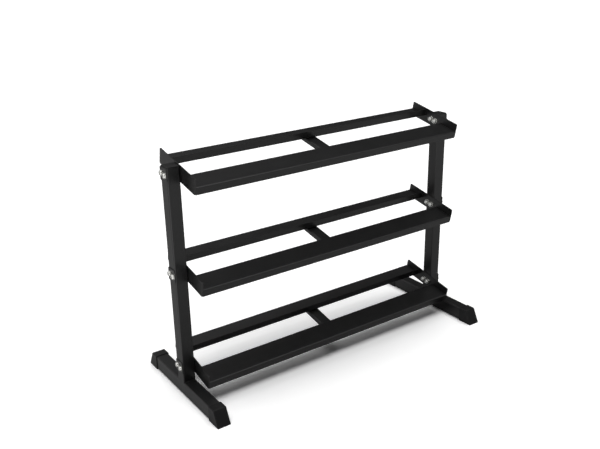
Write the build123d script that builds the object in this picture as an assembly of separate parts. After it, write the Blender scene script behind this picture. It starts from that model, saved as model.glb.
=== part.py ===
from build123d import *
from math import cos, radians, sin
import os

# Three-tier dumbbell rack.
# Two side frames, each a foot tube with a post standing on its middle, carry three shelves
# that slope down towards the user.  A shelf is two end plates, a front rail, a rear rail and
# a centre brace.  Two bolts at each end clamp the end plate against the inboard face of the
# post, through the post, onto a backing plate on its outboard face.
# +X runs along the rack, +Y to the rear, +Z up.  The origin is on the floor, at the middle.

# Overall sizes, in millimetres
rack_length = 1200.0            # outboard face of one post to outboard face of the other
rack_height = 820.0             # floor to the top of the post caps
foot_length = 512.0             # along the floor, over the foot caps
shelf_depth = 244.0             # front edge to rear edge, measured along the slope
shelf_slope = 11.8              # degrees, front edge lower
bottom_tray_height = 109.5      # floor to the bottom tray's plane, at the posts' axis
top_tray_drop = 24.5            # from the top of the post caps down to the top tray's plane

# Posts and feet
post_size = 45.0                # square tube, outside
post_wall = 2.0
post_cope_edge = 1.0            # the cope's blunt edge, where the weld starts
foot_tube_height = 50.0         # the foot tube is as wide as the post
foot_wall = 2.0
tube_corner = 4.0               # outside corner radius of both tubes

# Foot caps, slipped over the ends of the foot tubes
foot_cap_wall = 2.0
foot_cap_sleeve = 34.0          # how far the cap reaches along the top, sleeve and nose
foot_cap_nose = 7.0             # nose beyond the tube's end, along the top
foot_cap_rake = 27.0            # how much further the nose reaches at the floor
foot_cap_edge = 2.5             # fillet of the nose's edges
cap_clearance = 0.15            # between a cap and the tube it is fitted to

# Post caps, plugged into the tops of the posts
post_cap_head = 3.5
post_cap_plug = 12.0
post_cap_plug_wall = 2.0
post_cap_edge = 1.6

# Shelves
rail_sheet = 2.5                # folded sheet of both rails
rail_bend = 2.0                 # inside radius of the fold
front_tray = 85.0
front_flange = 26.0             # turned down along the front edge
rear_tray = 75.0
rear_lip = 25.0                 # turned up along the rear rail's front edge
end_plate_sheet = 3.0
end_plate_above = 28.5          # above the tray plane
end_plate_below = 26.5          # below the tray plane
end_plate_corner = 5.0
brace_width = 45.0
brace_depth = 15.0
brace_sheet = 2.0
brace_bend = 1.5                # inside radius of the folds
brace_end_gap = 0.5             # between the brace's front end and the front rail's fold
brace_setback = 12.0            # brace's rear end, in from the shelf's rear edge

# Fasteners
bolt_drop = 1.0                 # bolt line below the tray plane
bolt_size = 10.0
bolt_tail = 1.0                 # thread showing past the nut
bolt_tip = 0.8                  # chamfer at the thread's end
head_size = 17.5
head_height = 5.5
head_rim = 1.2                  # straight rim under the dome
socket_across = 6.0
socket_depth = 3.0
hole_clearance = 1.0            # bolt holes over the bolt's size
washer_size = 20.0
washer_gap = 3.0                # between the washers of the two bolts
washer_clearance = 0.5          # washer's hole over the bolt's size
washer_sheet = 2.0
nut_across = 17.0
nut_height = 7.6
nut_collar_size = 14.6
nut_collar_height = 2.4
nut_clearance = 0.1             # nut's bore over the bolt's size
nut_chamfer = 0.9
backing_margin = 0.5            # backing plate beyond its washers
backing_sheet = 2.0
backing_corner = 3.0

# Derived places
tier_names = ["bottom", "middle", "top"]
tier_spacing = (rack_height - top_tray_drop - bottom_tray_height) / (len(tier_names) - 1)
tray_heights = [bottom_tray_height + tier_spacing * i for i in range(len(tier_names))]
foot_top = foot_cap_wall + cap_clearance + foot_tube_height
post_top = rack_height - post_cap_head
post_axis_x = rack_length / 2 - post_size / 2
post_inboard_x = rack_length / 2 - post_size
shelf_half_length = post_inboard_x - end_plate_sheet
foot_nose_top = foot_length / 2 - foot_cap_rake
foot_tube_half_length = foot_nose_top - foot_cap_nose
foot_cap_inner_y = foot_nose_top - foot_cap_sleeve
bolt_spacing = washer_size + washer_gap         # along the slope
backing_height = bolt_spacing + washer_size + 2 * backing_margin
clamp_stack = backing_sheet + post_size + end_plate_sheet + 2 * washer_sheet
bolt_length = clamp_stack + nut_height + nut_collar_height + bolt_tail
hole_radius = (bolt_size + hole_clearance) / 2


def shelf_location(tray_height):
    """Local X along the rack, local Y up the slope, local Z square to the tray."""
    slope = radians(shelf_slope)
    plane = Plane(origin=(0, 0, tray_height), x_dir=(1, 0, 0), z_dir=(0, -sin(slope), cos(slope)))
    return plane.location


def bolt_places(tray_height):
    """The (y, z) of both bolt axes of one shelf end."""
    slope = radians(shelf_slope)
    places = []
    for s in (-bolt_spacing / 2, bolt_spacing / 2):
        y = s * cos(slope) + bolt_drop * sin(slope)
        z = tray_height + s * sin(slope) - bolt_drop * cos(slope)
        places.append((y, z))
    return places


def along_x(radius, x_from, x_to, y, z):
    """A round bar along X."""
    start = Plane(origin=(x_from, y, z), x_dir=(0, 1, 0), z_dir=(1, 0, 0))
    return extrude(start * Circle(radius), amount=x_to - x_from)


def tube(width, height, wall, corner):
    """The flat section of a rectangular tube."""
    outer = RectangleRounded(width, height, corner)
    inner = RectangleRounded(width - 2 * wall, height - 2 * wall, corner - wall)
    return outer - inner


def bolt_holes(x_from, x_to, tray_height):
    holes = [along_x(hole_radius, x_from, x_to, y, z) for y, z in bolt_places(tray_height)]
    return holes[0] + holes[1]


# Side frames, drawn for side +1 (right) or -1 (left)
def foot_plane(side):
    """Square to the foot tube, on its axis."""
    middle = foot_top - foot_tube_height / 2
    return Plane(origin=(side * post_axis_x, 0, middle), x_dir=(1, 0, 0), z_dir=(0, 1, 0))


def foot_tube(side):
    section = tube(post_size, foot_tube_height, foot_wall, tube_corner)
    return extrude(foot_plane(side) * section, amount=foot_tube_half_length, both=True)


def post(side):
    """Its lower end is coped to the rounded shoulders of the foot tube."""
    section = tube(post_size, post_size, post_wall, tube_corner)
    lower_end = foot_top - tube_corner + post_cope_edge
    solid = Pos(side * post_axis_x, 0, lower_end) * extrude(section, amount=post_top - lower_end)
    foot_outline = RectangleRounded(post_size, foot_tube_height, tube_corner)
    solid -= extrude(foot_plane(side) * foot_outline, amount=post_size, both=True)
    for height in tray_heights:
        reach = sorted([side * (post_inboard_x - 1), side * (rack_length / 2 + 1)])
        solid -= bolt_holes(reach[0], reach[1], height)
    return solid


def post_cap(side):
    head = extrude(RectangleRounded(post_size, post_size, tube_corner), amount=post_cap_head)
    head = fillet(head.faces().sort_by(Axis.Z)[-1].edges(), post_cap_edge)
    plug_size = post_size - 2 * post_wall - 2 * cap_clearance
    plug = tube(plug_size, plug_size, post_cap_plug_wall, tube_corner - post_wall + 0.5)
    plug = extrude(plug, amount=-post_cap_plug)
    return Pos(side * post_axis_x, 0, post_top) * (head + plug)


def foot_cap(side, end):
    """A sleeve over the tube with a raked nose; end is +1 at the rear and -1 at the front."""
    gap = foot_cap_wall + cap_clearance
    width = post_size + 2 * gap
    height = foot_top + gap
    rake_per_height = foot_cap_rake / height
    outer = make_face(Polyline(
        (foot_cap_inner_y, 0), (foot_length / 2, 0), (foot_nose_top, height),
        (foot_cap_inner_y, height), close=True))
    nose_floor = foot_length / 2 - foot_cap_wall * (1 + rake_per_height)
    nose_roof = foot_nose_top - foot_cap_wall * (1 - rake_per_height)
    inner = make_face(Polyline(
        (foot_cap_inner_y, foot_cap_wall), (nose_floor, foot_cap_wall),
        (nose_roof, height - foot_cap_wall), (foot_cap_inner_y, height - foot_cap_wall), close=True))
    middle = Plane.YZ
    shell = extrude(middle * outer, amount=width / 2, both=True)
    nose = shell.faces().sort_by(Axis.Y)[-1]
    along_top = shell.edges().filter_by(Axis.Y).group_by(Axis.Z)[-1]
    shell = fillet(nose.edges().sort_by(Axis.Z)[1:] + along_top, foot_cap_edge)
    shell -= extrude(middle * inner, amount=width / 2 - foot_cap_wall, both=True)
    turned = shell if end > 0 else Rot(0, 0, 180) * shell
    return Pos(side * post_axis_x, 0, 0) * turned


def backing_plate(side, tray_height):
    outboard = side * rack_length / 2
    plane = Plane(origin=(outboard, 0, tray_height - bolt_drop), x_dir=(0, 1, 0), z_dir=(1, 0, 0))
    plate = extrude(plane * RectangleRounded(post_size, backing_height, backing_corner),
                    amount=side * backing_sheet)
    reach = sorted([outboard - side, outboard + side * (backing_sheet + 1)])
    return plate - bolt_holes(reach[0], reach[1], tray_height)


# Shelves, drawn in shelf_location's axes
def folded_angle(tray, rise):
    """Section with its fold at (0, 0); the tray's upper face is v = 0, the leg ends at v = rise."""
    t = rail_sheet
    if rise < 0:
        outline = [(0, 0), (tray, 0), (tray, -t), (t, -t), (t, rise), (0, rise)]
        outside, inside = (0, 0), (t, -t)
    else:
        outline = [(0, -t), (tray, -t), (tray, 0), (t, 0), (t, rise), (0, rise)]
        outside, inside = (0, -t), (t, 0)
    section = make_face(Polyline(*outline, close=True))
    for corner, radius in ((outside, rail_bend + t), (inside, rail_bend)):
        vertex = section.vertices().sort_by_distance(Vector(*corner, 0))[0]
        section = fillet(vertex, radius)
    return section


def front_rail():
    section = Pos(-shelf_depth / 2, 0) * folded_angle(front_tray, -front_flange)
    return extrude(Plane.YZ * section, amount=shelf_half_length, both=True)


def rear_rail():
    section = Pos(shelf_depth / 2 - rear_tray, 0) * folded_angle(rear_tray, rear_lip)
    return extrude(Plane.YZ * section, amount=shelf_half_length, both=True)


def end_plate(side):
    height = end_plate_above + end_plate_below
    outline = RectangleRounded(shelf_depth, height, end_plate_corner)
    plane = Plane(origin=(side * shelf_half_length, 0, end_plate_above - height / 2),
                  x_dir=(0, 1, 0), z_dir=(1, 0, 0))
    plate = extrude(plane * outline, amount=side * end_plate_sheet)
    for s in (-bolt_spacing / 2, bolt_spacing / 2):
        reach = sorted([side * (shelf_half_length - 1), side * (post_inboard_x + 1)])
        plate -= along_x(hole_radius, reach[0], reach[1], s, -bolt_drop)
    return plate


def centre_brace():
    """A channel, open below, welded across the undersides of both trays."""
    outer = Pos(0, -rail_sheet - brace_depth / 2) * Rectangle(brace_width, brace_depth)
    inner = Pos(0, -rail_sheet - brace_sheet - brace_depth / 2) * Rectangle(
        brace_width - 2 * brace_sheet, brace_depth)
    outer = fillet(outer.vertices().group_by(Axis.Y)[-1], brace_bend + brace_sheet)
    inner = fillet(inner.vertices().group_by(Axis.Y)[-1], brace_bend)
    front = -shelf_depth / 2 + rail_sheet + rail_bend + brace_end_gap
    rear = shelf_depth / 2 - brace_setback
    plane = Plane(origin=(0, rear, 0), x_dir=(1, 0, 0), z_dir=(0, -1, 0))
    return extrude(plane * (outer - inner), amount=rear - front)


# Fasteners, drawn along +X with the head's seat at x = 0 and the shank towards -X
def button_bolt():
    r, h = head_size / 2, head_height
    crown = socket_across * 0.75
    dome = ThreePointArc((head_rim, r), (h * 0.72, r * 0.76), (h, crown))
    outline = Polyline((h, crown), (h, 0), (-bolt_length, 0), (-bolt_length, bolt_size / 2 - bolt_tip),
                       (-bolt_length + bolt_tip, bolt_size / 2), (0, bolt_size / 2), (0, r), (head_rim, r))
    solid = revolve(make_face(dome + outline), Axis.X)
    socket_plane = Plane(origin=(h, 0, 0), x_dir=(0, 1, 0), z_dir=(-1, 0, 0))
    hexagon = RegularPolygon(socket_across / 2, 6, major_radius=False)
    return solid - extrude(socket_plane * hexagon, amount=socket_depth)


def washer():
    """Its outboard face is at x = 0."""
    ring = Circle(washer_size / 2) - Circle((bolt_size + washer_clearance) / 2)
    return extrude(Plane.YZ * ring, amount=-washer_sheet)


def lock_nut():
    """Its seat is at x = 0 and its nylon collar ends towards -X."""
    flats = extrude(Plane.YZ * RegularPolygon(nut_across / 2, 6, major_radius=False), amount=-nut_height)
    corner = nut_across / 2 / cos(radians(30))
    turned = make_face(Polyline(
        (0, 0), (0, corner - nut_chamfer), (-nut_chamfer / 2, corner + 0.01),
        (-nut_height + nut_chamfer / 2, corner + 0.01), (-nut_height, corner - nut_chamfer),
        (-nut_height, 0), close=True))
    body = flats & revolve(turned, Axis.X)
    collar = along_x(nut_collar_size / 2, -nut_height - nut_collar_height, -nut_height, 0, 0)
    bore = along_x((bolt_size + nut_clearance) / 2, -nut_height - nut_collar_height - 1, 1, 0, 0)
    return body + collar - bore


def at_both_bolts(make, side, x, tray_height):
    """Copies of one fastener at both bolt axes; x is its seat, measured outboard from the middle."""
    copies = []
    for y, z in bolt_places(tray_height):
        turned = make() if side > 0 else Rot(0, 0, 180) * make()
        copies.append(Pos(side * x, y, z) * turned)
    return copies


def write(name, solids):
    shape = solids[0] if len(solids) == 1 else Compound(children=solids)
    export_step(shape, os.path.join("parts", name + ".step"))


os.makedirs("parts", exist_ok=True)
sides = {"left": -1, "right": 1}
outer_washer_x = rack_length / 2 + backing_sheet + washer_sheet
inner_washer_x = shelf_half_length
nut_x = shelf_half_length - washer_sheet

for side_name, side in sides.items():
    write(f"{side_name}_foot_tube", [foot_tube(side)])
    write(f"{side_name}_post", [post(side)])
    write(f"{side_name}_post_cap", [post_cap(side)])
    for end_name, end in (("front", -1), ("rear", 1)):
        write(f"{side_name}_{end_name}_foot_cap", [foot_cap(side, end)])

for tier_name, height in zip(tier_names, tray_heights):
    place = shelf_location(height)
    write(f"{tier_name}_front_rail", [place * front_rail()])
    write(f"{tier_name}_rear_rail", [place * rear_rail()])
    write(f"{tier_name}_centre_brace", [place * centre_brace()])
    for side_name, side in sides.items():
        prefix = f"{tier_name}_{side_name}"
        write(f"{prefix}_end_plate", [place * end_plate(side)])
        write(f"{prefix}_backing_plate", [backing_plate(side, height)])
        write(f"{prefix}_bolts", at_both_bolts(button_bolt, side, outer_washer_x, height))
        write(f"{prefix}_nuts", at_both_bolts(lock_nut, side, nut_x, height))
        outer = at_both_bolts(washer, side, outer_washer_x, height)
        inner = at_both_bolts(washer, side, inner_washer_x, height)
        write(f"{prefix}_washers", outer + inner)

print("tray heights", tray_heights, "bolt length", bolt_length)
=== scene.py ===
# %% [markdown]
# # A three-tier dumbbell rack
#
# The rack is welded and bolted steel: two feet with a post on each, and three sloping
# shelves made of two folded rails, two end plates and a brace.  The design file already
# holds every steel part at its true size, so this script does not model them again.
# It gives them their finishes and rebuilds the small things that a plain CAD export
# leaves dull: bolts, nuts, washers and the weld beads.
#
# Everything here is in metres, with the origin on the floor under the rack's middle,
# X along the rack, Y to the rear and Z up.

# %% Load the rack
from math import asin, cos, degrees, pi, radians, sin, tau

import bmesh
import bpy
from mathutils import Matrix, Vector


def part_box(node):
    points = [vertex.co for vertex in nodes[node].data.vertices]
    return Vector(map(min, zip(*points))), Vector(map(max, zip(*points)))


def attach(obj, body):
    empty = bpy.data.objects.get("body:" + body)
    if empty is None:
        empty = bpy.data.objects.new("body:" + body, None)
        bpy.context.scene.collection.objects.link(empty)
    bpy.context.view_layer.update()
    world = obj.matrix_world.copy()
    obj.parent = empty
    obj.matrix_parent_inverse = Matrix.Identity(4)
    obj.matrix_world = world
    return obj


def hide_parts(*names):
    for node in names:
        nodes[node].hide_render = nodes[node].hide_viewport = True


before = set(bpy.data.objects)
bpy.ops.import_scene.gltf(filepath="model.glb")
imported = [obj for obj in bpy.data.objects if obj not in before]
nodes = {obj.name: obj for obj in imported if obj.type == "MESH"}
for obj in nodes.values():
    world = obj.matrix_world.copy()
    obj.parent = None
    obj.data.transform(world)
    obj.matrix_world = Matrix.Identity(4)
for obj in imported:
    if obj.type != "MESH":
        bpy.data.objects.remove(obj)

for part in nodes.values():
    part.data.materials.clear()
for plain in list(bpy.data.materials):
    bpy.data.materials.remove(plain)
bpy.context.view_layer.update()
TIERS = ("bottom", "middle", "top")
SIDES = {"left": -1, "right": 1}    # the sign of x on that side

# %% [markdown]
# ## The camera
#
# A rack shows its build best from a little above and to one side, through a lens slightly
# longer than normal, so that the long rails converge only gently.  The camera is described
# by where it stands and by three angles: how far it is turned from straight ahead, how far
# it looks down, and its small tilt.  Building its matrix from those angles keeps the
# numbers readable.

# %% Camera
CAMERA_PLACE = Vector((-1.5493, -2.1049, 1.4890))
CAMERA_TURN = radians(34.74)        # from +Y towards +X
CAMERA_DOWN = radians(20.96)
CAMERA_TILT = radians(-1.06)
LENS_MM = 45.88
SENSOR_MM = 36
FARTHEST_SEEN = 200

ahead = Vector((sin(CAMERA_TURN) * cos(CAMERA_DOWN), cos(CAMERA_TURN) * cos(CAMERA_DOWN),
                -sin(CAMERA_DOWN)))
level_right = Vector((cos(CAMERA_TURN), -sin(CAMERA_TURN), 0))
level_up = level_right.cross(ahead)
right = cos(CAMERA_TILT) * level_right + sin(CAMERA_TILT) * level_up
up = cos(CAMERA_TILT) * level_up - sin(CAMERA_TILT) * level_right

camera_data = bpy.data.cameras.new("Camera")
camera_data.lens = LENS_MM
camera_data.sensor_width = SENSOR_MM
camera_data.clip_end = FARTHEST_SEEN
camera = bpy.data.objects.new("Camera", camera_data)
camera.matrix_world = Matrix((right, up, -ahead)).transposed().to_4x4()
camera.location = CAMERA_PLACE
bpy.context.scene.collection.objects.link(camera)
bpy.context.scene.camera = camera
print("camera looks along", ahead[:])

# %% [markdown]
# ## A white sweep and soft light
#
# Black paint is mostly a mirror: what tells its faces apart is what they reflect.  So the
# room matters more than the lamps.  It is nearly dark, with a pale wall to the rear left, a
# soft box overhead and two white boards.  The one to the front right draws the light line
# along every fold, and the one to the left shows up in the domes of the bolts.  The room is
# only mirrored: it does not light the floor.  That is left to two very wide sun lamps, a key
# and a weak fill, which are not mirrored.  Kept apart like this, the shade under the bottom
# shelf stays deep in the middle and fades out softly, while paint and zinc stay calm.

# %% Small helpers for node trees
def add(tree, kind, place=(0, 0), **settings):
    """A node of that kind; a setting is a property of it, or an input given by name."""
    node = tree.nodes.new(kind)
    node.location = place
    for key, value in settings.items():
        if hasattr(node, key):
            setattr(node, key, value)
        else:
            node.inputs[key.replace("_", " ")].default_value = value
    return node


def math_node(tree, operation, a, b=None, place=(0, 0), clamp=False):
    """A Math node; a and b are sockets or numbers."""
    node = add(tree, "ShaderNodeMath", place, operation=operation, use_clamp=clamp)
    for socket, value in zip(node.inputs, (a, b)):
        if value is None:
            continue
        if isinstance(value, bpy.types.NodeSocket):
            tree.links.new(value, socket)
        else:
            socket.default_value = value
    return node.outputs[0]


def spread(tree, value, low, high, place=(0, 0), source=(0, 1)):
    """Maps value from the source range to low..high, held at both ends."""
    node = add(tree, "ShaderNodeMapRange", place)
    tree.links.new(value, node.inputs["Value"])
    for name, number in zip(("From Min", "From Max", "To Min", "To Max"), (*source, low, high)):
        node.inputs[name].default_value = number
    return node.outputs[0]


# %% Room and lamps
ROOM_BASE = 0.045
SOFT_BOXES = {
    # name: (direction towards it, where its glow starts and is full as cosines, strength)
    "rear left wall": (Vector((-0.85, 0.50, 0.10)), -0.15, 0.95, 0.50),
    "front right board": (Vector((0.48, -0.58, 0.66)), 0.89, 0.97, 1.0),
    "left board": (Vector((-0.93, -0.25, 0.12)), 0.62, 0.92, 0.7),
    "overhead soft box": (Vector((0.0, 0.0, 1.0)), 0.80, 0.92, 1.6),
}
LAMPS = {
    # name: (direction it shines from, strength, angle across)
    "Key": (Vector((-0.02, 0.0, 1.0)), 3.05, radians(60)),
    "Fill": (Vector((0.0, 0.0, 1.0)), 0.16, radians(170)),
}

world = bpy.data.worlds.new("Studio room")
bpy.context.scene.world = world
world.use_nodes = True
tree = world.node_tree
tree.nodes.clear()
direction = add(tree, "ShaderNodeTexCoord", (-1200, 0)).outputs["Generated"]
glow = None
for row, (towards, start, full, strength) in enumerate(SOFT_BOXES.values()):
    facing = add(tree, "ShaderNodeVectorMath", (-1000, -250 * row), operation="DOT_PRODUCT")
    tree.links.new(direction, facing.inputs[0])
    facing.inputs[1].default_value = towards.normalized()
    lobe = spread(tree, facing.outputs["Value"], 0.0, strength, (-800, -250 * row),
                  source=(start, full))
    glow = math_node(tree, "ADD", glow or ROOM_BASE, lobe, (-600, -250 * row))
seen = add(tree, "ShaderNodeLightPath", (-800, 300)).outputs["Is Camera Ray"]
paper = math_node(tree, "MAXIMUM", glow, seen, (-400, 0))
background = add(tree, "ShaderNodeBackground", (-200, 0), Color=(1, 1, 1, 1))
tree.links.new(paper, background.inputs["Strength"])
output = add(tree, "ShaderNodeOutputWorld", (0, 0))
tree.links.new(background.outputs[0], output.inputs["Surface"])
world.cycles_visibility.diffuse = False

for name, (source, strength, angle) in LAMPS.items():
    lamp_data = bpy.data.lights.new(name, "SUN")
    lamp_data.energy = strength
    lamp_data.angle = angle
    lamp = bpy.data.objects.new(name, lamp_data)
    lamp.rotation_mode = "QUATERNION"
    lamp.rotation_quaternion = source.to_track_quat("Z", "Y")
    lamp.visible_glossy = False
    bpy.context.scene.collection.objects.link(lamp)
bpy.context.scene.view_settings.view_transform = "Standard"
print("room:", ", ".join(SOFT_BOXES))
print("lamps:", ", ".join(LAMPS))

# %% [markdown]
# ## The floor
#
# The rack stands on plain matt paper that shows as clean white.  The paper shown to the
# camera is brighter than the paper that the rack mirrors, which a Light Path node separates,
# or the black paint would look grey.  The mirrored paper grows brighter towards the front,
# where more light falls, so the posts are a little paler at the top.  To the left the mirrored
# paper holds a brighter patch, a painted pool of light that stands in for a white card and
# that the camera does not see.  From the front left only the lower half of each bolt head
# mirrors it.

# %% Floor
FLOOR_HALF = 45.0
PAPER_SEEN = 1.22
PAPER_MIRRORED = (0.37, 0.54)       # near the rack, and far in front of it
PAPER_BRIGHTENS = (-0.6, -1.8)      # from this y to that y
# A painted pool of light in the mirrored paper, standing in for a white card: its brightness, then x and y
# where it starts and is full.
MIRRORED_LIGHT_PATCH = 1.15
LIGHT_PATCH_RIGHT_EDGE = (-0.68, -0.80)    # x where the card starts and is full
LIGHT_PATCH_REAR_EDGE = (0.20, 0.0)        # y where it starts and is full

floor_mesh = bpy.data.meshes.new("Floor")
corners = [(-FLOOR_HALF, -FLOOR_HALF, 0), (FLOOR_HALF, -FLOOR_HALF, 0),
           (FLOOR_HALF, FLOOR_HALF, 0), (-FLOOR_HALF, FLOOR_HALF, 0)]
floor_mesh.from_pydata(corners, [], [(0, 1, 2, 3)])
floor = bpy.data.objects.new("Floor", floor_mesh)
bpy.context.scene.collection.objects.link(floor)

paper_material = bpy.data.materials.new("Studio paper")
paper_material.use_nodes = True
tree = paper_material.node_tree
tree.nodes.clear()
where = add(tree, "ShaderNodeSeparateXYZ", (-800, 0))
tree.links.new(add(tree, "ShaderNodeTexCoord", (-1000, 0)).outputs["Object"], where.inputs[0])
paper = spread(tree, where.outputs["Y"], *PAPER_MIRRORED, (-600, 0), source=PAPER_BRIGHTENS)
# The painted pool of light to the left, seen only in reflections.
light_patch_x = spread(tree, where.outputs["X"], 0.0, MIRRORED_LIGHT_PATCH, (-600, -200),
                source=LIGHT_PATCH_RIGHT_EDGE)
light_patch_y = spread(tree, where.outputs["Y"], 0.0, 1.0, (-600, -400), source=LIGHT_PATCH_REAR_EDGE)
light_patch = math_node(tree, "MULTIPLY", light_patch_x, light_patch_y, (-400, -300))
mirrored = math_node(tree, "MAXIMUM", paper, light_patch, (-400, -100))
seen = add(tree, "ShaderNodeLightPath", (-600, 200)).outputs["Is Camera Ray"]
shade = add(tree, "ShaderNodeMix", (-400, 100), data_type="FLOAT")
tree.links.new(seen, shade.inputs["Factor"])
tree.links.new(mirrored, shade.inputs["A"])
shade.inputs["B"].default_value = PAPER_SEEN
matt = add(tree, "ShaderNodeBsdfDiffuse", (-200, 0))
tree.links.new(shade.outputs["Result"], matt.inputs["Color"])
output = add(tree, "ShaderNodeOutputMaterial", (0, 0))
tree.links.new(matt.outputs[0], output.inputs["Surface"])
floor_mesh.materials.append(paper_material)
print("floor", 2 * FLOOR_HALF, "m wide")

# %% [markdown]
# ## Effects that several finishes share
#
# Three things are the same on painted steel, moulded plastic and plated zinc: the surface
# is never perfectly smooth, edges are never perfectly sharp, and dust always settles
# unevenly.  Each is a node group with named inputs, so that a finish only says how
# strong it is.  A group gives out heights, masks and normals; the shader itself stays in
# the material, where an exporter can read it.

# %% An empty shader group
def new_group(name, inputs, outputs):
    """An empty shader group; inputs is {name: default}, outputs is {name: socket type}."""
    group = bpy.data.node_groups.new(name, "ShaderNodeTree")
    for label, value in inputs.items():
        socket = group.interface.new_socket(label, in_out="INPUT", socket_type="NodeSocketFloat")
        socket.default_value = value
    for label, kind in outputs.items():
        group.interface.new_socket(label, in_out="OUTPUT", socket_type=kind)
    return group, add(group, "NodeGroupInput", (-900, 0)), add(group, "NodeGroupOutput", (700, 0))


# %% [markdown]
# **Surface relief.**  Sprayed powder, moulded plastic and plating all roll in shallow waves
# with a finer grain on top.  Two noises on Object coordinates draw them at their true size,
# so the pattern is the same on a small cap and on a long rail.  A third, broad noise is a
# mottle, with which a finish varies its gloss from place to place.

# %% Surface relief
MOTTLE_PER_METRE = 9.0


def surface_relief():
    """Rolling waves with a finer grain on top, both given by their width and depth in metres."""
    group, given, made = new_group(
        "Surface relief",
        {"Wave Width": 0.002, "Wave Depth": 0.00001, "Grain Width": 0.0004, "Grain Depth": 0.000003},
        {"Height": "NodeSocketFloat", "Mottle": "NodeSocketFloat"})
    place = add(group, "ShaderNodeTexCoord", (-900, 300)).outputs["Object"]
    heights = []
    for row, label in enumerate(("Wave", "Grain")):
        noise = add(group, "ShaderNodeTexNoise", (-400, -300 * row), Detail=1.0)
        per_metre = math_node(group, "DIVIDE", 1.0, given.outputs[label + " Width"],
                              (-650, -300 * row))
        group.links.new(place, noise.inputs["Vector"])
        group.links.new(per_metre, noise.inputs["Scale"])
        heights.append(math_node(group, "MULTIPLY", noise.outputs["Fac"],
                                 given.outputs[label + " Depth"], (-150, -300 * row)))
    group.links.new(math_node(group, "ADD", *heights, (100, 0)), made.inputs["Height"])
    broad = add(group, "ShaderNodeTexNoise", (-400, 400), Scale=MOTTLE_PER_METRE, Detail=3.0)
    group.links.new(place, broad.inputs["Vector"])
    group.links.new(broad.outputs["Fac"], made.inputs["Mottle"])
    return group


RELIEF = surface_relief()
print("shader group", RELIEF.name)

# %% [markdown]
# **Soft edges.**  No real edge is perfectly sharp, but cutting a bevel along every edge of
# every sheet would cost thousands of faces.  The Bevel node turns only the shading normal.
# Where that normal leaves the face's own there is an edge, and the same comparison also
# gives a mask.  A finish paints the masked edge a little paler: partly the thinner coat on an
# edge, and partly a painted highlight along it.

# %% Soft edges
EDGE_COSINE = (0.995, 0.80)         # between the two normals: where the mask starts and is full


def soft_edges():
    """A normal that turns round every edge, and a mask that is 1 on the turn."""
    group, given, made = new_group(
        "Soft edges", {"Radius": 0.0006}, {"Normal": "NodeSocketVector", "Edge": "NodeSocketFloat"})
    bevel = add(group, "ShaderNodeBevel", (-600, 0), samples=6)
    group.links.new(given.outputs["Radius"], bevel.inputs["Radius"])
    flat = add(group, "ShaderNodeNewGeometry", (-600, -250)).outputs["Normal"]
    agree = add(group, "ShaderNodeVectorMath", (-350, -100), operation="DOT_PRODUCT")
    group.links.new(bevel.outputs["Normal"], agree.inputs[0])
    group.links.new(flat, agree.inputs[1])
    edge = spread(group, agree.outputs["Value"], 0.0, 1.0, (-100, -100), source=EDGE_COSINE)
    group.links.new(bevel.outputs["Normal"], made.inputs["Normal"])
    group.links.new(edge, made.inputs["Edge"])
    return group


EDGES = soft_edges()
print("shader group", EDGES.name)

# %% [markdown]
# **Settled dust.**  Fine dust stays on what looks up, and never evenly.  The upright part of
# the normal gives the first, a noise the second, and their product is the mask.

# %% Settled dust
DUST_UPWARD = (0.5, 1.0)            # z of the normal: where dust starts to stay, and where it lies
DUST_PATCHES = (0.35, 0.65)         # noise values that are the thinnest and the thickest dust
THINNEST_DUST = 0.2


def settled_dust():
    """Where fine dust stays: on faces that look up, in soft patches."""
    group, given, made = new_group(
        "Settled dust", {"Amount": 0.1, "Patch Width": 0.05}, {"Mask": "NodeSocketFloat"})
    normal = add(group, "ShaderNodeNewGeometry", (-800, 300)).outputs["Normal"]
    height = add(group, "ShaderNodeSeparateXYZ", (-600, 300))
    group.links.new(normal, height.inputs[0])
    upward = spread(group, height.outputs["Z"], 0.0, 1.0, (-400, 300), source=DUST_UPWARD)
    noise = add(group, "ShaderNodeTexNoise", (-400, 0), Detail=5.0, Roughness=0.6)
    place = add(group, "ShaderNodeTexCoord", (-800, 0)).outputs["Object"]
    per_metre = math_node(group, "DIVIDE", 1.0, given.outputs["Patch Width"], (-650, -150))
    group.links.new(place, noise.inputs["Vector"])
    group.links.new(per_metre, noise.inputs["Scale"])
    patches = spread(group, noise.outputs["Fac"], THINNEST_DUST, 1.0, (-100, 0),
                     source=DUST_PATCHES)
    both = math_node(group, "MULTIPLY", upward, patches, (150, 150))
    mask = math_node(group, "MULTIPLY", both, given.outputs["Amount"], (400, 100))
    group.links.new(mask, made.inputs["Mask"])
    return group


DUST = settled_dust()
print("shader group", DUST.name)

# %% [markdown]
# ## The finishes
#
# **Black powder coat** is sprayed on dry and baked.  It flows into very shallow waves, the
# orange peel, with a fine grain on top, so it is satin rather than mirror-like.
# **Black plastic** caps are moulded in a spark-eroded tool: duller than the coat, with an
# even fine grain.  **Zinc plate** on the fasteners is a thin bright metal skin, cloudy from
# the bath.  The **nylon** rings in the lock nuts are milky and soft.
#
# All four are the same recipe with different values, so one function makes them.  A value
# that is the same all over goes straight onto the shader's own socket.

# %% The recipe of a finish
DUST_COLOUR = (0.30, 0.29, 0.28)
MOTTLE_RANGE = (0.3, 0.7)           # mottle values that are the smoothest and the roughest spots


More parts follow.
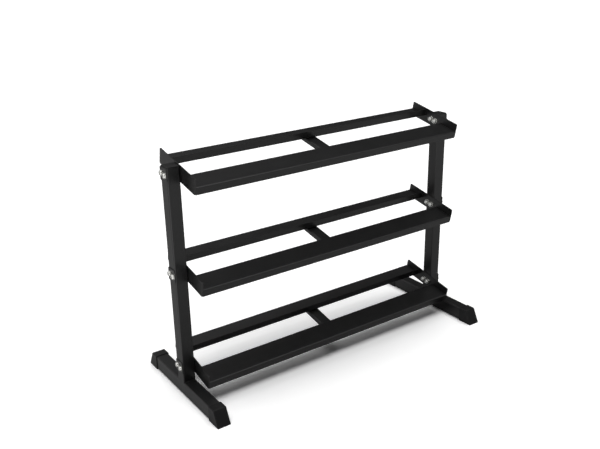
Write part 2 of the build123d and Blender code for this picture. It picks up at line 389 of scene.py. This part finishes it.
def finish(name, colour, thin_coat_and_highlight_colour, roughness, roughness_change, relief, edge_radius,
           dust=0.0, metallic=0.0, specular=0.5, **shader_values):
    """A material; relief is (wave width, wave depth, grain width, grain depth) in metres."""
    material = bpy.data.materials.new(name)
    material.use_nodes = True
    tree = material.node_tree
    shader = tree.nodes["Principled BSDF"]
    shader.inputs["Metallic"].default_value = metallic
    shader.inputs["Specular IOR Level"].default_value = specular
    for label, value in shader_values.items():
        shader.inputs[label.replace("_", " ")].default_value = value

    relief_node = add(tree, "ShaderNodeGroup", (-1100, -300), node_tree=RELIEF)
    for socket, value in zip(relief_node.inputs, relief):
        socket.default_value = value
    edge_node = add(tree, "ShaderNodeGroup", (-1100, 0), node_tree=EDGES)
    edge_node.inputs["Radius"].default_value = edge_radius
    dust_node = add(tree, "ShaderNodeGroup", (-1100, 300), node_tree=DUST)
    dust_node.inputs["Amount"].default_value = dust

    # The paler colour on edges is partly the thinner coat there and partly a painted highlight.
    thin_coat_and_highlight = add(tree, "ShaderNodeMix", (-700, 200), data_type="RGBA")
    tree.links.new(edge_node.outputs["Edge"], thin_coat_and_highlight.inputs["Factor"])
    thin_coat_and_highlight.inputs["A"].default_value = (*colour, 1)
    thin_coat_and_highlight.inputs["B"].default_value = (*thin_coat_and_highlight_colour, 1)
    dusty = add(tree, "ShaderNodeMix", (-450, 300), data_type="RGBA")
    tree.links.new(dust_node.outputs["Mask"], dusty.inputs["Factor"])
    tree.links.new(thin_coat_and_highlight.outputs["Result"], dusty.inputs["A"])
    dusty.inputs["B"].default_value = (*DUST_COLOUR, 1)
    tree.links.new(dusty.outputs["Result"], shader.inputs["Base Color"])

    low, high = roughness - roughness_change, roughness + roughness_change
    uneven = spread(tree, relief_node.outputs["Mottle"], low, high, (-700, -100),
                    source=MOTTLE_RANGE)
    dulled = math_node(tree, "ADD", uneven, dust_node.outputs["Mask"], (-450, 0), clamp=True)
    tree.links.new(dulled, shader.inputs["Roughness"])

    bump = add(tree, "ShaderNodeBump", (-450, -300), Strength=1.0, Distance=1.0)
    tree.links.new(relief_node.outputs["Height"], bump.inputs["Height"])
    tree.links.new(edge_node.outputs["Normal"], bump.inputs["Normal"])
    tree.links.new(bump.outputs["Normal"], shader.inputs["Normal"])
    return material


# %% Finishes
# Each edge colour is a little paler than the face: partly thin coat and partly a painted highlight.
POWDER_COAT = finish(
    "black_powder_coat", colour=(0.005, 0.005, 0.0052), thin_coat_and_highlight_colour=(0.010, 0.010, 0.0105),
    roughness=0.32, roughness_change=0.03, relief=(0.0024, 0.000016, 0.0005, 0.000003),
    edge_radius=0.0007, dust=0.008, specular=0.62)
PLASTIC = finish(
    "black_plastic", colour=(0.005, 0.005, 0.0052), thin_coat_and_highlight_colour=(0.010, 0.010, 0.010),
    roughness=0.40, roughness_change=0.04, relief=(0.0012, 0.000006, 0.0003, 0.000006),
    edge_radius=0.0006, dust=0.010, specular=0.38)
ZINC = finish(
    "zinc_plate", colour=(0.86, 0.86, 0.83), thin_coat_and_highlight_colour=(0.90, 0.90, 0.88),
    roughness=0.22, roughness_change=0.05, relief=(0.0015, 0.000004, 0.0003, 0.000002),
    edge_radius=0.0002, metallic=1.0)
NYLON = finish(
    "nylon_ring", colour=(0.70, 0.72, 0.70), thin_coat_and_highlight_colour=(0.76, 0.77, 0.75),
    roughness=0.45, roughness_change=0.04, relief=(0.0010, 0.000004, 0.0002, 0.000002),
    edge_radius=0.0002, Subsurface_Weight=0.15)
print("finishes:", [m.name for m in (POWDER_COAT, PLASTIC, ZINC, NYLON)])

# %% [markdown]
# ## Painting the steel and the caps
#
# The record already says which slot each part belongs to by its kind, and the node names
# follow the same rule: anything called a cap is plastic, bolts, nuts and washers are zinc,
# and the rest is painted steel.

# %% Give each part its finish
def finish_for(name):
    if "cap" in name:
        return PLASTIC
    if name.endswith(("bolts", "nuts", "washers")):
        return ZINC
    return POWDER_COAT


for name, part in nodes.items():
    part.data.materials.append(finish_for(name))
print("painted", len(nodes), "parts")

# %% [markdown]
# ## Where things are, read from the parts
#
# Nothing is placed by eye.  The tilt of a shelf comes from the largest face of its front
# rail that looks up, which is the tray.  A bolt's axis comes from the corners of the box
# round its pair, because the two heads touch opposite corners of that box.  A shelf then has
# its own two directions: *s* runs up the slope and *n* stands square on the tray.

# %% Shelf axes
LOOKS_UP = 0.9                      # z of the normal of a tray's upper side, at least


def shelf_axes(tier):
    """(origin at the posts' axis, up the slope, square to the tray) of one shelf."""
    faces = nodes[f"{tier}_front_rail"].data.polygons
    tray = max((face for face in faces if face.normal.z > LOOKS_UP), key=lambda face: face.area)
    n = tray.normal.normalized()
    s = Vector((0, n.z, -n.y))
    height = tray.center.z + tray.center.y * n.y / n.z
    return Vector((0, 0, height)), s, n


SHELVES = {tier: shelf_axes(tier) for tier in TIERS}


def on_shelf(tier, x, s, n):
    """A point given along the rack, up the slope and square to the tray."""
    origin, up_slope, square = SHELVES[tier]
    return origin + Vector((x, 0, 0)) + s * up_slope + n * square


def span(name, tier):
    """(lowest s, highest s, lowest n, highest n) of a part, in its shelf's directions."""
    origin, up_slope, square = SHELVES[tier]
    offsets = [v.co - origin for v in nodes[name].data.vertices]
    along, out = [o.dot(up_slope) for o in offsets], [o.dot(square) for o in offsets]
    return min(along), max(along), min(out), max(out)


for tier in TIERS:
    origin, up_slope, _ = SHELVES[tier]
    slope = degrees(asin(up_slope.z))
    print(tier, "tray at", round(origin.z, 4), "m, slope", round(slope, 2), "degrees")

# %% Bolt axes
HEAD_SIZE = 0.0175


def bolt_axes(tier, side_name):
    """The (y, z) of both bolts of one shelf end."""
    low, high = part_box(f"{tier}_{side_name}_bolts")
    r = HEAD_SIZE / 2
    return [(low.y + r, low.z + r), (high.y - r, high.z - r)]


for tier in TIERS:
    print(tier, "bolts at y, z", [(round(y, 4), round(z, 4)) for y, z in bolt_axes(tier, "left")])

# %% [markdown]
# ## Turned shapes
#
# A bolt is forged, a nut is turned and a washer is stamped, but each is built round one
# axis, so each can be a stack of rings about X.  A ring is a distance along the axis and a
# radius, and the radius may depend on the angle: that is how the hexagons of the nut and of
# the key socket come from the same function.  Chamfered nut corners need no cutting either,
# because the radius there is the smaller of the hexagon and a cone.

# %% Ring builder
SMOOTH_BELOW = radians(32)          # faces that meet at less are shaded as one surface


def hexagon(across):
    """Radius of a hexagon of that size across its flats, at an angle."""
    return lambda angle: across / 2 / cos((angle + pi / 6) % (pi / 3) - pi / 6)


def smaller(shape, limit):
    """The smaller of a shape's radius and a round limit, at an angle."""
    return lambda angle: min(shape(angle), limit)


def turned(name, rings, segments, closed_loop=False):
    """A mesh object from rings (x, radius or radius at an angle); a radius of 0 is a pole."""
    mesh = bmesh.new()
    made = []
    for x, radius in rings:
        if radius == 0:
            made.append([mesh.verts.new((x, 0, 0))])
            continue
        ring = []
        for step in range(segments):
            angle = tau * step / segments
            r = radius(angle) if callable(radius) else radius
            ring.append(mesh.verts.new((x, r * cos(angle), r * sin(angle))))
        made.append(ring)
    pairs = list(zip(made, made[1:])) + ([(made[-1], made[0])] if closed_loop else [])
    for one, two in pairs:
        for step in range(segments):
            after = (step + 1) % segments
            corners = [one[step % len(one)], two[step % len(two)],
                       two[after % len(two)], one[after % len(one)]]
            mesh.faces.new(list(dict.fromkeys(corners)))
    bmesh.ops.recalc_face_normals(mesh, faces=mesh.faces)
    data = bpy.data.meshes.new(name)
    mesh.to_mesh(data)
    mesh.free()
    for face in data.polygons:
        face.use_smooth = True
    data.set_sharp_from_angle(angle=SMOOTH_BELOW)
    piece = bpy.data.objects.new(name, data)
    bpy.context.scene.collection.objects.link(piece)
    return piece


print("a 17 mm hexagon is", round(2000 * hexagon(0.017)(pi / 6), 1), "mm over its corners")

# %% [markdown]
# ## Button-head bolt, lock nut, nylon ring and washer
#
# All of these are drawn along X, with +X as the way out of the rack.  The underside of the
# bolt's head, and the outboard face of a nut or a washer, lies at x = 0.
#
# **The bolt.**  Its head is a low dome with a straight rim and a hexagon socket, and its
# shank ends in a rolled thread with a chamfered tip.  The thread is drawn as separate
# grooves and not as a helix, since only the last turns show past the nut.

# %% The bolt
HEAD_HEIGHT = 0.0055
RIM_HEIGHT = 0.0012
SOCKET_ACROSS = 0.0060
SOCKET_DEPTH = 0.0030
SOCKET_WIDTHS = (0.97, 1.0, 1.08)   # at the bottom, just inside and at the mouth
SOCKET_POINT = 0.0006               # the drill's cone below the bottom
CROWN_SHARE = 0.75                  # radius of the flat round the socket, over its width
DOME_STEPS = 8
DOME_POWERS = (0.9, 1.1)            # of the cosine and the sine; an ellipse has 1 and 1
BROKEN_EDGE = 0.0003
SHANK_RADIUS = 0.0050
THREAD_PITCH = 0.0015
THREAD_DEPTH = 0.0006
THREAD_TURNS = 9
THREAD_FORM = ((0.0, 0), (0.2, 0), (0.55, 1), (0.65, 1))    # (share of pitch, share of depth)
TIP_CHAMFER = 0.0008
TIP_HOLLOW = (0.45, 0.0004)         # its share of the shank's radius, and its depth

bolt_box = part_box("top_right_bolts")
BOLT_LENGTH = bolt_box[1].x - bolt_box[0].x - HEAD_HEIGHT


def master_bolt():
    r, h = HEAD_SIZE / 2, HEAD_HEIGHT
    bottom, inside, mouth = (hexagon(SOCKET_ACROSS * share) for share in SOCKET_WIDTHS)
    crown = SOCKET_ACROSS * CROWN_SHARE
    rings = [(h - SOCKET_DEPTH - SOCKET_POINT, 0), (h - SOCKET_DEPTH, bottom),
             (h - BROKEN_EDGE, inside), (h, mouth), (h, crown)]
    for step in range(1, DOME_STEPS + 1):
        turn = pi / 2 * step / DOME_STEPS
        rings.append((RIM_HEIGHT + (h - RIM_HEIGHT) * cos(turn) ** DOME_POWERS[0],
                      crown + (r - crown) * sin(turn) ** DOME_POWERS[1]))
    rings += [(BROKEN_EDGE, r), (0, r - BROKEN_EDGE), (0, SHANK_RADIUS)]
    x = -BOLT_LENGTH + TIP_CHAMFER + THREAD_TURNS * THREAD_PITCH
    rings.append((x + THREAD_PITCH, SHANK_RADIUS))
    for _ in range(THREAD_TURNS):
        rings += [(x - along * THREAD_PITCH, SHANK_RADIUS - deep * THREAD_DEPTH)
                  for along, deep in THREAD_FORM]
        x -= THREAD_PITCH
    hollow_share, hollow_depth = TIP_HOLLOW
    rings += [(x, SHANK_RADIUS), (-BOLT_LENGTH, SHANK_RADIUS - TIP_CHAMFER),
              (-BOLT_LENGTH, SHANK_RADIUS * hollow_share), (-BOLT_LENGTH + hollow_depth, 0)]
    return turned("master_bolt", rings, segments=36)


print("bolt", round(BOLT_LENGTH * 1000, 1), "mm long under its head")

# %% [markdown]
# **The lock nut.**  A chamfered hexagon with a thin collar at its far end, rolled over a
# nylon ring.  Both its end faces are turned to a cone, which is why the corners of a nut
# look scooped.  Its bore stays just clear of the shank.

# %% The nut
NUT_ACROSS = 0.0170
NUT_HEIGHT = 0.0076
NUT_FACE = 0.97                     # width of the flat end face, over the width of the hexagon
NUT_CONE = ((0.0, 0.0), (0.00035, 0.0007), (0.0007, 0.0012))    # (depth, growth of the radius)
NUT_CONE_END = 0.0012
THREAD_GAP = 0.00005
COLLAR_HEIGHT = 0.0024
COLLAR_RADIUS = 0.0073
COLLAR_WALL = 0.0009


def master_nut():
    flats = hexagon(NUT_ACROSS)
    face = NUT_ACROSS / 2 * NUT_FACE
    cone = [(depth, smaller(flats, face + growth)) for depth, growth in NUT_CONE]
    end, lip = NUT_HEIGHT + COLLAR_HEIGHT, COLLAR_RADIUS - COLLAR_WALL
    bore = SHANK_RADIUS + THREAD_GAP
    rings = [(0, bore)]
    rings += [(-depth, shape) for depth, shape in cone]
    rings += [(-NUT_CONE_END, flats), (-NUT_HEIGHT + NUT_CONE_END, flats)]
    rings += [(-NUT_HEIGHT + depth, shape) for depth, shape in reversed(cone)]
    soft, fillet, curl, rim = 0.0002, 0.0003, 0.0007, 0.0006
    rings += [(-NUT_HEIGHT, COLLAR_RADIUS + soft), (-NUT_HEIGHT - fillet, COLLAR_RADIUS),
              (-end + curl, COLLAR_RADIUS), (-end + soft, COLLAR_RADIUS - soft),
              (-end, COLLAR_RADIUS - rim), (-end + soft, lip), (-NUT_HEIGHT, lip - soft / 2),
              (-NUT_HEIGHT, bore)]
    return turned("master_nut", rings, segments=48, closed_loop=True)


print("nut", round((NUT_HEIGHT + COLLAR_HEIGHT) * 1000, 1), "mm high with its collar")

# %% [markdown]
# **The nylon ring and the washer.**  The ring fills the collar and grips the thread, with a
# small lead-in for the bolt.  A washer is a stamped disc, so its edges are only just broken.

# %% The ring and the washer
RING_INSET = 0.0011                 # from the collar's outside
RING_SUNK = 0.0004                  # below the collar's end
RING_GAP = 0.00008
RING_LEAD_IN = (0.0005, 0.0004)     # out from the bore, and deep
WASHER_RADIUS = 0.0100
WASHER_BORE = 0.00525
WASHER_SHEET = 0.0020


def master_ring():
    outer, inner = COLLAR_RADIUS - RING_INSET, SHANK_RADIUS + RING_GAP
    end = NUT_HEIGHT + COLLAR_HEIGHT - RING_SUNK
    wide, deep = RING_LEAD_IN
    seat, soft = 0.0001, 0.0002
    rings = [(-NUT_HEIGHT - seat, outer), (-end + soft, outer), (-end, outer - soft),
             (-end, inner + wide), (-end + deep, inner), (-NUT_HEIGHT - seat, inner)]
    return turned("master_ring", rings, segments=32, closed_loop=True)


def master_washer():
    outer, inner, t, soft = WASHER_RADIUS, WASHER_BORE, WASHER_SHEET, BROKEN_EDGE
    rings = [(-soft, outer), (-t + soft, outer), (-t, outer - soft), (-t, inner + soft),
             (-t + soft, inner), (-soft, inner), (0, inner + soft), (0, outer - soft)]
    return turned("master_washer", rings, segments=40, closed_loop=True)


print("washer", round(WASHER_RADIUS * 2000, 1), "mm across,", WASHER_SHEET * 1000, "mm thick")

# %% [markdown]
# ## Setting the fasteners with Geometry Nodes
#
# Twelve bolts, twelve nuts, twelve rings and twenty-four washers are only four shapes, again
# and again.  A Geometry Nodes tree instances a master on points, turns it to face its side of
# the rack, and spins it by a seeded random angle, because nobody lines up hexagons.  The
# points carry their side as an attribute.  The tree ends by making the instances real and
# giving them their finish.

# %% An empty Geometry Nodes tree
def geometry_tree(name, inputs):
    """An empty Geometry Nodes tree; inputs is {name: (socket type, default)}."""
    tree = bpy.data.node_groups.new(name, "GeometryNodeTree")
    tree.interface.new_socket("Geometry", in_out="INPUT", socket_type="NodeSocketGeometry")
    for label, (kind, value) in inputs.items():
        socket = tree.interface.new_socket(label, in_out="INPUT", socket_type=kind)
        if value is not None:
            socket.default_value = value
    tree.interface.new_socket("Geometry", in_out="OUTPUT", socket_type="NodeSocketGeometry")
    return tree, add(tree, "NodeGroupInput", (-1000, 0)), add(tree, "NodeGroupOutput", (900, 0))


# %% The fastener tree
def fastener_tree():
    tree, given, made = geometry_tree("Fasteners on their axes", {
        "Master": ("NodeSocketObject", None), "Finish": ("NodeSocketMaterial", None),
        "Largest Spin": ("NodeSocketFloat", pi), "Seed": ("NodeSocketInt", 1)})
    link = tree.links.new
    side = add(tree, "GeometryNodeInputNamedAttribute", (-800, -400), data_type="FLOAT", Name="side")
    turned_round = math_node(tree, "SUBTRACT", 1.0, side.outputs[0], (-600, -400))
    half_turn = math_node(tree, "MULTIPLY", turned_round, pi / 2, (-450, -400))
    spin = add(tree, "FunctionNodeRandomValue", (-600, -150), data_type="FLOAT")
    spin.inputs[2].default_value = 0.0
    link(given.outputs["Largest Spin"], spin.inputs[3])
    link(given.outputs["Seed"], spin.inputs["Seed"])
    angles = add(tree, "ShaderNodeCombineXYZ", (-250, -250))
    link(spin.outputs[1], angles.inputs["X"])
    link(half_turn, angles.inputs["Z"])
    turn = add(tree, "FunctionNodeEulerToRotation", (-50, -250))
    link(angles.outputs[0], turn.inputs[0])
    master = add(tree, "GeometryNodeObjectInfo", (-600, 150))
    link(given.outputs["Master"], master.inputs["Object"])
    place = add(tree, "GeometryNodeInstanceOnPoints", (200, 0))
    link(given.outputs["Geometry"], place.inputs["Points"])
    link(master.outputs["Geometry"], place.inputs["Instance"])
    link(turn.outputs[0], place.inputs["Rotation"])
    real = add(tree, "GeometryNodeRealizeInstances", (450, 0))
    link(place.outputs[0], real.inputs[0])
    coat = add(tree, "GeometryNodeSetMaterial", (650, 0))
    link(real.outputs[0], coat.inputs["Geometry"])
    link(given.outputs["Finish"], coat.inputs["Material"])
    link(coat.outputs[0], made.inputs[0])
    return tree


FASTENER_TREE = fastener_tree()
print("tree", FASTENER_TREE.name, "has", len(FASTENER_TREE.nodes), "nodes")

# %% [markdown]
# A modifier's result exists only while it is evaluated.  So the tree is set up, its inputs
# are filled in by their identifiers, the scene is updated, and the result is copied into a
# plain mesh that rides on the rack.  The object that carried the modifier is then removed.

# %% Run a tree and keep its mesh
def grown(name, source, tree, slot_name, **inputs):
    """Runs a tree on source and keeps the result as a plain mesh piece that rides on the rack."""
    modifier = source.modifiers.new("Tree", "NODES")
    modifier.node_group = tree
    for item in tree.interface.items_tree:
        key = item.name.replace(" ", "_")
        if item.in_out == "INPUT" and key in inputs:
            modifier[item.identifier] = inputs[key]
    bpy.context.view_layer.update()
    evaluated = source.evaluated_get(bpy.context.evaluated_depsgraph_get())
    data = bpy.data.meshes.new_from_object(evaluated)
    data.name = name
    source.modifiers.remove(modifier)
    bpy.data.objects.remove(source)
    piece = bpy.data.objects.new(name, data)
    bpy.context.scene.collection.objects.link(piece)
    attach(piece, "root")
    print(name, len(data.polygons), "faces, finish", data.materials[0].name)
    return piece


# %% [markdown]
# The tree needs one point for each fastener.  All those places are read from the design's
# own solids: the underside of a head, and the outboard face of a nut or a washer.  A side
# of -1 or 1 is stored with each point and turns the fastener to face outwards.

# %% Bolt axes as points
def axis_points(name, places):
    """A mesh of loose points; places is a list of (point, side)."""
    data = bpy.data.meshes.new(name)
    data.from_pydata([point for point, _ in places], [], [])
    sides = data.attributes.new("side", "FLOAT", "POINT")
    sides.data.foreach_set("value", [float(side) for _, side in places])
    points = bpy.data.objects.new(name, data)
    bpy.context.scene.collection.objects.link(points)
    return points


def outboard_face(name, side):
    """The x of a part's face that looks away from the rack's middle."""
    low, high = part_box(name)
    return high.x if side > 0 else low.x


def inboard_face(name, side):
    """The x of a part's face that looks towards the rack's middle."""
    return outboard_face(name, -side)


seats = {"bolts": [], "nuts": [], "washers": []}
for tier in TIERS:
    for side_name, side in SIDES.items():
        prefix = f"{tier}_{side_name}"
        head_seat = outboard_face(f"{prefix}_bolts", side) - side * HEAD_HEIGHT
        nut_seat = outboard_face(f"{prefix}_nuts", side)
        inner_washer = inboard_face(f"{prefix}_washers", side) + side * WASHER_SHEET
        for y, z in bolt_axes(tier, side_name):
            seats["bolts"].append(((head_seat, y, z), side))
            seats["nuts"].append(((nut_seat, y, z), side))
            seats["washers"].append(((outboard_face(f"{prefix}_washers", side), y, z), side))
            seats["washers"].append(((inner_washer, y, z), side))
print({kind: len(places) for kind, places in seats.items()})

# %% [markdown]
# Each kind is now one call of the same tree.  The plain solids that a piece stands for are
# hidden, and they stay in the physics model as they are.  The rings have none, since the
# design file leaves them out.

# %% Bolts, nuts, rings and washers in place
FASTENER_SEED = 7

for name, make, places, material, slot_name in (
        ("button_bolts", master_bolt, "bolts", ZINC, "zinc_plate"),
        ("lock_nuts", master_nut, "nuts", ZINC, "zinc_plate"),
        ("nylon_rings", master_ring, "nuts", NYLON, None),
        ("flat_washers", master_washer, "washers", ZINC, "zinc_plate")):
    master = make()
    master.data.materials.append(material)
    piece = grown(name, axis_points(name + "_axes", seats[places]), FASTENER_TREE, slot_name,
                  Master=master, Finish=material, Largest_Spin=pi, Seed=FASTENER_SEED)
    bpy.data.objects.remove(master)
    if name != "nylon_rings":
        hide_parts(*[n for n in nodes if n.endswith("_" + places)])

# %% [markdown]
# ## Weld beads
#
# A weld is laid as a row of overlapping puddles, so the bead is a rope of small ripples,
# thickest in the middle and thinner where it starts and stops.  Shops weld thin sheet in
# short stitches, to keep it from warping, and run right round where a post stands on its
# foot.  Each seam here is one edge of a mesh.  The tree resamples it finely, works out a
# rippled size along it and sweeps a circle scaled by that size.  The paint then goes over it
# as over the rest.

# %% The weld tree
RIPPLE_PITCH = 0.0018
RIPPLE_DEPTH = 0.16                 # share of the radius
STEPS_IN_RIPPLE = 5.0
PUDDLE_SIZES = (0.94, 1.06)         # smallest and largest, by a random number for each ripple
END_SIZE = 0.45                     # of the first puddle
END_RIPPLES = 1.5                   # ripples until the bead is at its full size
BEAD_SIDES = 10
WELD_SEED = 3


def weld_tree():
    tree, given, made = geometry_tree("Weld bead", {
        "Bead Radius": ("NodeSocketFloat", 0.002), "Ripple Pitch": ("NodeSocketFloat", RIPPLE_PITCH),
        "Ripple Depth": ("NodeSocketFloat", RIPPLE_DEPTH), "Finish": ("NodeSocketMaterial", None),
        "Seed": ("NodeSocketInt", WELD_SEED)})
    link = tree.links.new
    seam = add(tree, "GeometryNodeMeshToCurve", (-800, 0))
    link(given.outputs["Geometry"], seam.inputs[0])
    fine = add(tree, "GeometryNodeResampleCurve", (-600, 0), mode="LENGTH")
    link(seam.outputs[0], fine.inputs["Curve"])
    step = math_node(tree, "DIVIDE", given.outputs["Ripple Pitch"], STEPS_IN_RIPPLE, (-800, -200))
    link(step, fine.inputs["Length"])
    along = add(tree, "GeometryNodeSplineParameter", (-1000, -500))
    whole = add(tree, "GeometryNodeSplineLength", (-1000, -700))
    phase = math_node(tree, "DIVIDE", along.outputs["Length"], given.outputs["Ripple Pitch"],
                      (-800, -450))
    half_turns = math_node(tree, "MULTIPLY", phase, pi, (-650, -450))
    sine = math_node(tree, "SINE", half_turns, place=(-500, -450))
    wave = math_node(tree, "ABSOLUTE", sine, place=(-350, -450))
    valley = math_node(tree, "SUBTRACT", 1.0, wave, (-200, -450))
    dip = math_node(tree, "MULTIPLY", valley, given.outputs["Ripple Depth"], (-50, -450))
    left = math_node(tree, "SUBTRACT", whole.outputs["Length"], along.outputs["Length"], (-800, -700))
    near_end = math_node(tree, "MINIMUM", left, along.outputs["Length"], (-650, -700))
    ripples_in = math_node(tree, "DIVIDE", near_end, given.outputs["Ripple Pitch"], (-500, -700))
    ramp = spread(tree, ripples_in, END_SIZE, 1.0, (-350, -700), source=(0.0, END_RIPPLES))
    puddle = add(tree, "FunctionNodeRandomValue", (-350, -950), data_type="FLOAT")
    puddle.inputs[2].default_value, puddle.inputs[3].default_value = PUDDLE_SIZES
    link(math_node(tree, "FLOOR", phase, place=(-500, -950)), puddle.inputs["ID"])
    link(given.outputs["Seed"], puddle.inputs["Seed"])
    rippled = math_node(tree, "SUBTRACT", puddle.outputs[1], dip, (100, -450))
    size = math_node(tree, "MULTIPLY", rippled, ramp, (250, -450))
    radius = math_node(tree, "MULTIPLY", size, given.outputs["Bead Radius"], (400, -450))
    round_section = add(tree, "GeometryNodeCurvePrimitiveCircle", (-300, -200),
                        Resolution=BEAD_SIDES, Radius=1.0)
    swept = add(tree, "GeometryNodeCurveToMesh", (0, 0))
    swept.inputs["Fill Caps"].default_value = True
    link(fine.outputs[0], swept.inputs["Curve"])
    link(radius, swept.inputs["Scale"])
    link(round_section.outputs[0], swept.inputs["Profile Curve"])
    smooth = add(tree, "GeometryNodeSetShadeSmooth", (200, 0))
    link(swept.outputs[0], smooth.inputs[0])
    real = add(tree, "GeometryNodeRealizeInstances", (450, 0))
    link(smooth.outputs[0], real.inputs[0])
    coat = add(tree, "GeometryNodeSetMaterial", (650, 0))
    link(real.outputs[0], coat.inputs["Geometry"])
    link(given.outputs["Finish"], coat.inputs["Material"])
    link(coat.outputs[0], made.inputs[0])
    return tree


WELD_TREE = weld_tree()
print("tree", WELD_TREE.name, "has", len(WELD_TREE.nodes), "nodes")


# %% Seams as edges
def seam_mesh(name, seams):
    """A mesh with one edge for each (start, end)."""
    data = bpy.data.meshes.new(name)
    points = [point for seam in seams for point in seam]
    data.from_pydata(points, [(2 * k, 2 * k + 1) for k in range(len(seams))], [])
    piece = bpy.data.objects.new(name, data)
    bpy.context.scene.collection.objects.link(piece)
    return piece


# %% [markdown]
# ## Where the seams are
#
# A post is welded to its foot on all four sides: two fillets on top of the foot tube and,
# because the post is as wide as the tube, two beads in the grooves over its shoulders.  A
# bead's centre sits just inside the corner that it fills.

# %% Post seams
POST_BEAD = 0.0018
SINK = 0.35                         # share of the radius by which a centre stands off each face
TUBE_CORNER = 0.004
CORNER_CLEAR = 0.001                # a bead stops this far from the tube's rounded corner
GROOVE_PROUD = 0.0003               # how far a bead in a groove stands out of the post's side
GROOVE_DEPTH = 0.0012               # its centre, below the top of the foot tube


def post_seams(side_name):
    """Two fillets on the foot tube's top and two in the grooves over its shoulders."""
    low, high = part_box(f"{side_name}_post")
    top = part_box(f"{side_name}_foot_tube")[1].z
    off, inset = POST_BEAD * SINK, TUBE_CORNER + CORNER_CLEAR
    seams = []
    for y in (low.y - off, high.y + off):
        seams.append(((low.x + inset, y, top + off), (high.x - inset, y, top + off)))
    for x, inward in ((low.x, 1), (high.x, -1)):
        groove, z = x + inward * (POST_BEAD - GROOVE_PROUD), top - GROOVE_DEPTH
        seams.append(((groove, low.y + inset, z), (groove, high.y - inset, z)))
    return seams


post_welds = [seam for side_name in SIDES for seam in post_seams(side_name)]
print("post seams:", len(post_welds))

# %% [markdown]
# A rail is stitched to both end plates: twice under its tray, where no dumbbell touches the
# welds, and once behind its flange or lip.

# %% Rail seams
SHEET_BEAD = 0.0019
RAIL_SHEET = 0.0025
STITCH = 0.022
STITCH_PLACES = (0.85, 0.75)        # in thirds of the tray, from its front and its rear edge
FLANGE_CLEAR = (0.004, 0.009)       # from the flange's lower edge and from the tray's top
LIP_CLEAR = (0.006, 0.003)          # from the tray's top and from the lip's upper edge


def rail_seams(tier, rail, side_name, side):
    """Two stitches under the tray and one behind the flange or lip, against one end plate."""
    s_low, s_high, n_low, n_high = span(f"{tier}_{rail}_rail", tier)
    x = inboard_face(f"{tier}_{side_name}_end_plate", side) - side * SHEET_BEAD * SINK
    under = -RAIL_SHEET - SHEET_BEAD * SINK
    behind = s_low + RAIL_SHEET + SHEET_BEAD * SINK
    third = (s_high - s_low) / 3
    seams = []
    for middle in (s_low + third * STITCH_PLACES[0], s_high - third * STITCH_PLACES[1]):
        seams.append((on_shelf(tier, x, middle - STITCH / 2, under),
                      on_shelf(tier, x, middle + STITCH / 2, under)))
    if rail == "front":
        start, end = n_low + FLANGE_CLEAR[0], -FLANGE_CLEAR[1]
    else:
        start, end = LIP_CLEAR[0], n_high - LIP_CLEAR[1]
    seams.append((on_shelf(tier, x, behind, start), on_shelf(tier, x, behind, end)))
    return seams


print("seams of one rail end:", len(rail_seams("top", "front", "left", -1)))

# %% [markdown]
# A brace is stitched to both rails along its flanks, in the groove between its rounded
# shoulder and the underside of the tray.

# %% Brace seams
SHOULDER_INSET = 0.0002


def brace_seams(tier):
    """Stitches in the grooves between the brace's rounded shoulders and both trays."""
    b_low, b_high, _, _ = span(f"{tier}_centre_brace", tier)
    n = -RAIL_SHEET - SHEET_BEAD * SINK
    seams = []
    for rail in ("front", "rear"):
        s_low, s_high, _, _ = span(f"{tier}_{rail}_rail", tier)
        middle = (max(s_low, b_low) + min(s_high, b_high)) / 2
        for side in SIDES.values():
            x = side * (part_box(f"{tier}_centre_brace")[1].x - SHOULDER_INSET)
            seams.append((on_shelf(tier, x, middle - STITCH / 2, n),
                          on_shelf(tier, x, middle + STITCH / 2, n)))
    return seams


# %% [markdown]
# The beads round the posts are one piece and the stitches in the shelves another.  Both are
# painted, because the frame is coated after it is welded.

# %% Lay the beads
shelf_welds = []
for tier in TIERS:
    for side_name, side in SIDES.items():
        for rail in ("front", "rear"):
            shelf_welds += rail_seams(tier, rail, side_name, side)
    shelf_welds += brace_seams(tier)
for name, seams, bead in (("post_welds", post_welds, POST_BEAD), ("shelf_welds", shelf_welds, SHEET_BEAD)):
    grown(name, seam_mesh(name + "_seams", seams), WELD_TREE, "black_powder_coat",
          Bead_Radius=bead, Ripple_Pitch=RIPPLE_PITCH, Ripple_Depth=RIPPLE_DEPTH,
          Finish=POWDER_COAT, Seed=WELD_SEED)
